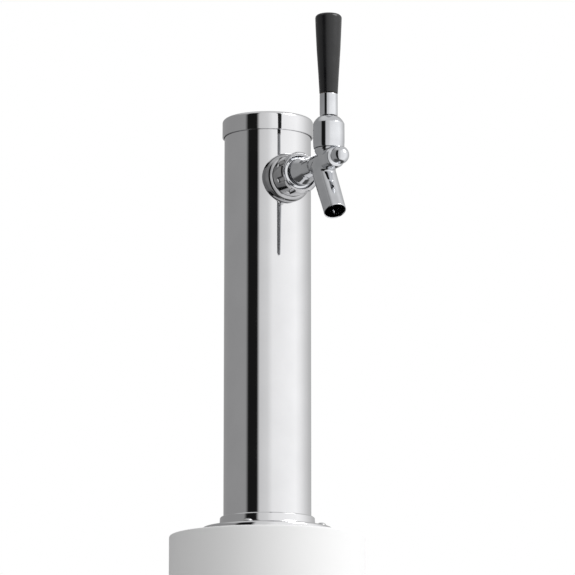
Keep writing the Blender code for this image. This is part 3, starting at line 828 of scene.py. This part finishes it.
def make_body():
    """The casting's blended skin, then its water ways, ball socket, lever slot and vent."""
    body = world_mesh(forward(knob("faucet_casting", BODY_OUTLINE, SMALL_SIDES)))
    boss = world_mesh(upright(knob("boss", BOSS_OUTLINE, SMALL_SIDES)))
    spout = world_mesh(along_spout(knob("spout", SPOUT_OUTLINE, SMALL_SIDES)))
    combine(body, "UNION", boss, spout)
    skin = body.modifiers.new("skin", "REMESH")
    skin.mode = "VOXEL"
    skin.voxel_size = 0.00035
    apply_modifiers(body)
    press_onto(body, casting_distance)

    chamber = forward(rod("valve_chamber", 0.0070, 0.0500, SEAT_REACH))
    seat = forward(rod("valve_seat", 0.0039, SEAT_REACH - 0.0010, 0.0760))
    bore = forward(rod("main_bore", 0.0056, 0.0750, 0.1292))
    lip = 0.0005
    outlet = [(0.0, SPOUT_LENGTH + 0.002), (SPOUT_BORE + lip, SPOUT_LENGTH + 0.002)]
    outlet += [(SPOUT_BORE + lip, SPOUT_LENGTH)]
    outlet += [(SPOUT_BORE, SPOUT_LENGTH - lip), (SPOUT_BORE, 0.0110), (0.0, 0.0110)]
    way_out = along_spout(knob("way_out", eased(outlet, 0.0003, 3, closed=False)))
    way_in = along_spout(rod("spout_throat", 0.0062, 0.0030, 0.0120))
    socket = upright(knob("ball_socket", arc(0.0, PIVOT.z, BALL_RADIUS + GAP, 90, -90, 48), SMALL_SIDES))
    swing = [(0.1090, 0.3100), (0.1090, 0.3150), (0.1154, 0.3300), (0.1242, 0.3300), (0.1242, 0.3100)]
    vent = rod("spout_vent", VENT_RADIUS, 0.0, 0.0160, 48)
    vent.rotation_euler = (math.pi / 2, 0.0, VENT_TURN)
    vent_reach = SPOUT_REACH + VENT_DOWN * math.sin(SPOUT_TILT)
    vent.location = (0.0, -vent_reach, FAUCET_Z - VENT_DOWN * math.cos(SPOUT_TILT))
    cut(body, chamber, seat, bore, way_out, way_in, socket, plate("lever_slot", swing, 0.0033), vent)
    fit(smooth(body), CHROME, "faucet_body")


def make_bonnet():
    mouth, thread_bore, ceiling = 0.0092, BOSS_RADIUS + GAP, 0.3383
    dome_start = sphere_angle(mouth, DOME_RADIUS)
    dome_end = sphere_angle(BONNET_RADIUS - 0.00005, DOME_RADIUS)
    outline = arc(0.0, PIVOT.z, DOME_RADIUS, dome_start, dome_end, 24)
    outline += [(BONNET_RADIUS, 0.3310), (BONNET_RADIUS, 0.3250), (0.0133, 0.3205)]
    outline += [(0.0128, BONNET_BOTTOM), (thread_bore, BONNET_BOTTOM)]
    outline += [(thread_bore, ceiling), (mouth, ceiling)]
    bonnet = turned("domed_bonnet", eased(outline, 0.0005, 5))
    fit(smooth(upright(bonnet)), CHROME, "bonnet")


def make_lever():
    neck, arm = 0.0036, 0.0022
    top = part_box("lever")[1].z
    stem_low = 0.3493
    outline = [(0.0, top), (LEVER_THREAD - 0.0008, top), (LEVER_THREAD, top - 0.0008)]
    outline += rows(LEVER_THREAD, top - 0.0008, stem_low, 0.0001)
    outline += [(LEVER_THREAD, stem_low), (neck, stem_low - 0.0011)]
    ball_start, ball_end = sphere_angle(neck, BALL_RADIUS), -sphere_angle(arm, BALL_RADIUS)
    outline += arc(0.0, PIVOT.z, BALL_RADIUS, ball_start, ball_end, 36)
    outline += arc(0.0, TIP_Z, TIP_RADIUS, sphere_angle(arm - 0.0002, TIP_RADIUS), -90, 16)
    shape = thread(LEVER_THREAD, 0.0005, 0.00106, stem_low, top)
    lever = knob("ball_lever", outline, SMALL_SIDES, shape)
    fit(smooth(upright(lever), 50.0), CHROME, "lever")

    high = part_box("lever_collar")[1]
    bore, cup, radius = LEVER_THREAD + GAP, DOME_RADIUS + 0.00035, high.x
    outline = [(radius, high.z)]
    outline += arc(0.0, PIVOT.z, cup, sphere_angle(radius, cup), sphere_angle(bore, cup), 10)
    outline += [(bore, high.z)]
    ferrule = turned("lever_ferrule", eased(outline, 0.0005, 4), SMALL_SIDES)
    fit(smooth(upright(ferrule)), CHROME, "lever_collar")


def make_handle():
    """Tapered grip with a rounded top, moulded round a brass insert."""
    insert_top, insert_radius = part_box("handle_insert")[1].z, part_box("handle_insert")[1].x
    hole, round_top = insert_radius + GAP, 0.0032
    shoulder = HANDLE_TOP - 0.0008 - round_top
    outline = [(0.0, HANDLE_TOP), (0.0050, HANDLE_TOP - 0.0003)]
    outline += arc(HANDLE_RADIUS - round_top, shoulder, round_top, 84, 0, 16)
    outline += [(0.0111, 0.4250), (0.0102, 0.4055), (0.0088, 0.3835), (0.0081, 0.3710)]
    outline += [(0.0079, HANDLE_BOTTOM), (hole, HANDLE_BOTTOM)]
    outline += [(hole, insert_top + GAP), (0.0, insert_top + GAP)]
    handle = knob("tap_handle", eased(outline, 0.0004, 4, closed=False))
    fit(smooth(upright(handle)), HANDLE_BLACK, "handle")


def make_valve():
    """Valve shaft with the fork that the lever's tip moves, and its seat washer."""
    head, stem = 0.0052, 0.0024
    front, rear = 0.1272, 0.0660
    outline = [(0.0, front), (head, front), (head, 0.1137), (stem, 0.1127), (stem, rear), (0.0, rear)]
    shaft = forward(knob("valve_spindle", eased(outline, 0.0004, 3, closed=False), SMALL_SIDES))
    half_slot = TIP_RADIUS + 0.0004
    cut(shaft, block("fork", (-0.0031, PIVOT.y - half_slot, 0.3085), (0.0031, PIVOT.y + half_slot, 0.3180)))
    fit(smooth(shaft), CHROME, "valve_shaft")

    front = SEAT_REACH - GAP
    outline = [(0.0062, front), (0.0062, 0.0690), (stem + GAP, 0.0690), (stem + GAP, front)]
    washer = turned("seat_washer", eased(outline, 0.0005, 4), SMALL_SIDES)
    fit(smooth(forward(washer)), RUBBER, "valve_washer")


make_base()
make_screws()
make_column()
make_cap()
make_shank()
make_collar()
make_nuts()
make_coupling()
make_body()
make_bonnet()
make_lever()
make_handle()
make_valve()
for kept, finish in (
    ("inner_saddle", ZINC),
    ("tail_gasket", RUBBER),
    ("tailpiece", CHROME),
    ("faucet_gasket", RUBBER),
    ("ball_washer", RUBBER),
    ("friction_ring", ACETAL),
    ("handle_insert", BRASS),
):
    paint(nodes[kept], finish)


# Studio


def plain_matt(name, shade):
    made, shader, place = surface(name, (shade, shade, shade), 0.85, 0.0)
    cloud = noise(made, place, 6.0)
    tint(made, shader, cloud, "Fac", (shade * 0.97,) * 3, (shade,) * 3)
    return made


def make_stage():
    """A pale floor, and a pale plinth that stands in for the counter."""
    floor_z, plinth_radius = -0.90, 0.085
    outline = [(0.0, -GAP), (plinth_radius, -GAP), (plinth_radius, floor_z), (0.0, floor_z)]
    plinth = knob("plinth", eased(outline, 0.002, 6, closed=False), COLUMN_SIDES)
    cut(plinth, *screw_holes(0.0030))
    floor = block("floor", (-6.0, -6.0, floor_z - 0.02), (6.0, 6.0, floor_z))
    for obj in (smooth(plinth), floor):
        obj.data.materials.append(plain_matt(obj.name + "_matt", 0.80))
        obj.visible_glossy = False


def make_world():
    """White surroundings for the camera, and a studio panorama for reflections and light.

    The panorama turns with the compass direction: grey walls behind, one narrow black flag on the left
    and a wide white diffuser in front and on the right, all fading into a paler ceiling. The ground is
    dark straight below and some way up behind the tower; elsewhere the walls run on down."""
    world = bpy.data.worlds.new("studio")
    bpy.context.scene.world = world
    bpy.context.scene.view_settings.view_transform = "Standard"
    world.use_nodes = True
    tree = world.node_tree
    tree.nodes.clear()

    def node(kind, **settings):
        made = tree.nodes.new(kind)
        for key, value in settings.items():
            setattr(made, key, value)
        return made

    place = node("ShaderNodeTexCoord")
    split = node("ShaderNodeSeparateXYZ")
    tree.links.new(place.outputs["Generated"], split.inputs["Vector"])
    turn = node("ShaderNodeMath", operation="MULTIPLY")
    turn.inputs[1].default_value = -1.0
    tree.links.new(split.outputs["Y"], turn.inputs[0])
    compass = node("ShaderNodeMath", operation="ARCTAN2")
    tree.links.new(split.outputs["X"], compass.inputs[0])
    tree.links.new(turn.outputs[0], compass.inputs[1])
    whole_turn = node("ShaderNodeMapRange")
    whole_turn.inputs["From Min"].default_value = -math.pi
    whole_turn.inputs["From Max"].default_value = math.pi
    tree.links.new(compass.outputs[0], whole_turn.inputs["Value"])

    wall = node("ShaderNodeValToRGB")
    tones = [(-180, 0.36), (-85, 0.38), (-77, 0.012), (-53, 0.012), (-46, 0.80), (-26, 0.90), (-12, 1.15)]
    tones += [(54, 1.32), (72, 1.15), (92, 0.90), (112, 0.70), (150, 0.45), (180, 0.36)]
    stops = wall.color_ramp.elements
    while len(stops) < len(tones):
        stops.new(0.5)
    for stop, (degrees, tone) in zip(stops, tones):
        stop.position = (degrees + 180) / 360
        stop.color = (tone, tone, tone, 1.0)
    tree.links.new(whole_turn.outputs["Result"], wall.inputs["Fac"])

    height = node("ShaderNodeMapRange", interpolation_type="SMOOTHSTEP")
    height.inputs["From Min"].default_value = math.sin(math.radians(40))
    height.inputs["From Max"].default_value = math.sin(math.radians(65))
    tree.links.new(split.outputs["Z"], height.inputs["Value"])
    mixed = node("ShaderNodeMix", data_type="RGBA")
    tree.links.new(height.outputs["Result"], mixed.inputs[0])
    tree.links.new(wall.outputs["Color"], mixed.inputs[6])
    mixed.inputs[7].default_value = (0.80, 0.80, 0.80, 1.0)

    ground_slope, ground_full, ground_gone, ground_tone = -0.45, -0.90, -0.70, 0.09
    rise = node("ShaderNodeMath", operation="MULTIPLY_ADD")
    rise.inputs[1].default_value = ground_slope
    tree.links.new(split.outputs["Y"], rise.inputs[0])
    tree.links.new(split.outputs["Z"], rise.inputs[2])
    above = node("ShaderNodeMapRange", interpolation_type="SMOOTHSTEP")
    above.inputs["From Min"].default_value = ground_full
    above.inputs["From Max"].default_value = ground_gone
    tree.links.new(rise.outputs[0], above.inputs["Value"])
    grounded = node("ShaderNodeMix", data_type="RGBA")
    tree.links.new(above.outputs["Result"], grounded.inputs[0])
    grounded.inputs[6].default_value = (ground_tone, ground_tone, ground_tone, 1.0)
    tree.links.new(mixed.outputs[2], grounded.inputs[7])

    studio = node("ShaderNodeBackground")
    tree.links.new(grounded.outputs[2], studio.inputs["Color"])
    backdrop = node("ShaderNodeBackground")
    backdrop.inputs["Color"].default_value = (1.0, 1.0, 1.0, 1.0)
    rays = node("ShaderNodeLightPath")
    chosen = node("ShaderNodeMixShader")
    tree.links.new(rays.outputs["Is Camera Ray"], chosen.inputs["Fac"])
    tree.links.new(studio.outputs[0], chosen.inputs[1])
    tree.links.new(backdrop.outputs[0], chosen.inputs[2])
    output = node("ShaderNodeOutputWorld")
    tree.links.new(chosen.outputs[0], output.inputs["Surface"])


def make_light():
    """One large soft key, high in front on the right."""
    data = bpy.data.lights.new("key", "AREA")
    data.shape = "RECTANGLE"
    data.size = data.size_y = 1.4
    data.energy = 45.0
    light = bpy.data.objects.new("key", data)
    bpy.context.scene.collection.objects.link(light)
    light.location = (1.6, -1.9, 2.2)
    light.rotation_euler = (Vector((0.0, 0.0, 0.2)) - light.location).to_track_quat("-Z", "Y").to_euler()


def make_camera():
    """A long lens a little below the counter, to the left of the faucet."""
    place, target = Vector((-1.401, -2.926, -0.393)), Vector((0.0, -0.040, 0.212))
    data = bpy.data.cameras.new("camera")
    data.sensor_width = 36.0
    data.lens = 236.0
    data.dof.use_dof = False
    camera = bpy.data.objects.new("camera", data)
    bpy.context.scene.collection.objects.link(camera)
    camera.location = place
    camera.rotation_euler = (target - place).to_track_quat("-Z", "Y").to_euler()
    bpy.context.scene.camera = camera


make_stage()
make_world()
make_light()
make_camera()

bpy.context.view_layer.update()
